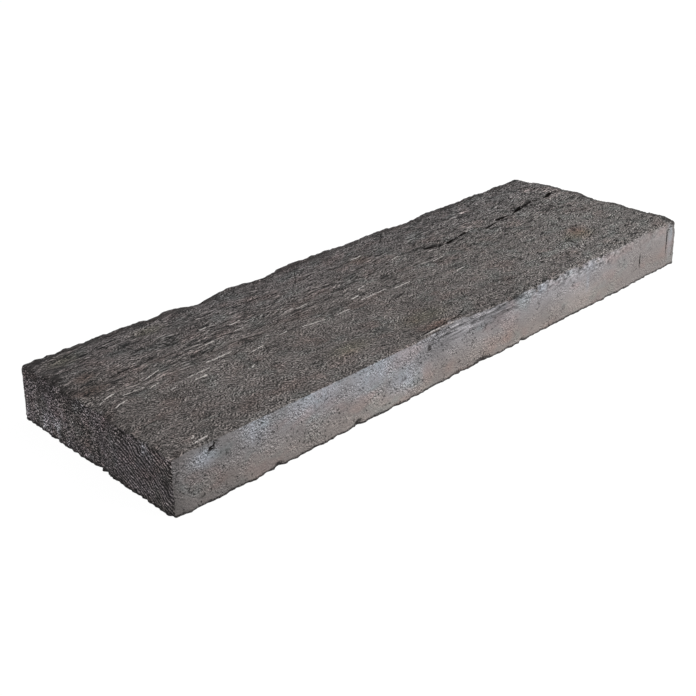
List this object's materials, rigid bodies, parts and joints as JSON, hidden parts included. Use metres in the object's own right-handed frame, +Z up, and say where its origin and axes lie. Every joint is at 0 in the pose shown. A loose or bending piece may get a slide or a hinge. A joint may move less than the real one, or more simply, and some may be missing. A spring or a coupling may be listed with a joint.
{
  "type": "concrete stepping stone",
  "caption": "Long flat stepping stone cast in concrete to look like a weathered timber sleeper, with worn edges, a drying split and end grain.",
  "frame": {"origin": "middle of the flat underside", "axes": "+X along the plank, away from the end with the check; +Z up, out of the walking face; -Y towards the long side that the picture shows"},
  "size_m": [0.758, 0.23, 0.058],
  "materials": {
    "concrete": "matt weathered-timber texture, through-coloured dark grey-brown, paler blue-grey on the mould walls"
  },
  "bodies": {
    "root": {"stepping_stone": "concrete"}
  },
  "joints": []
}
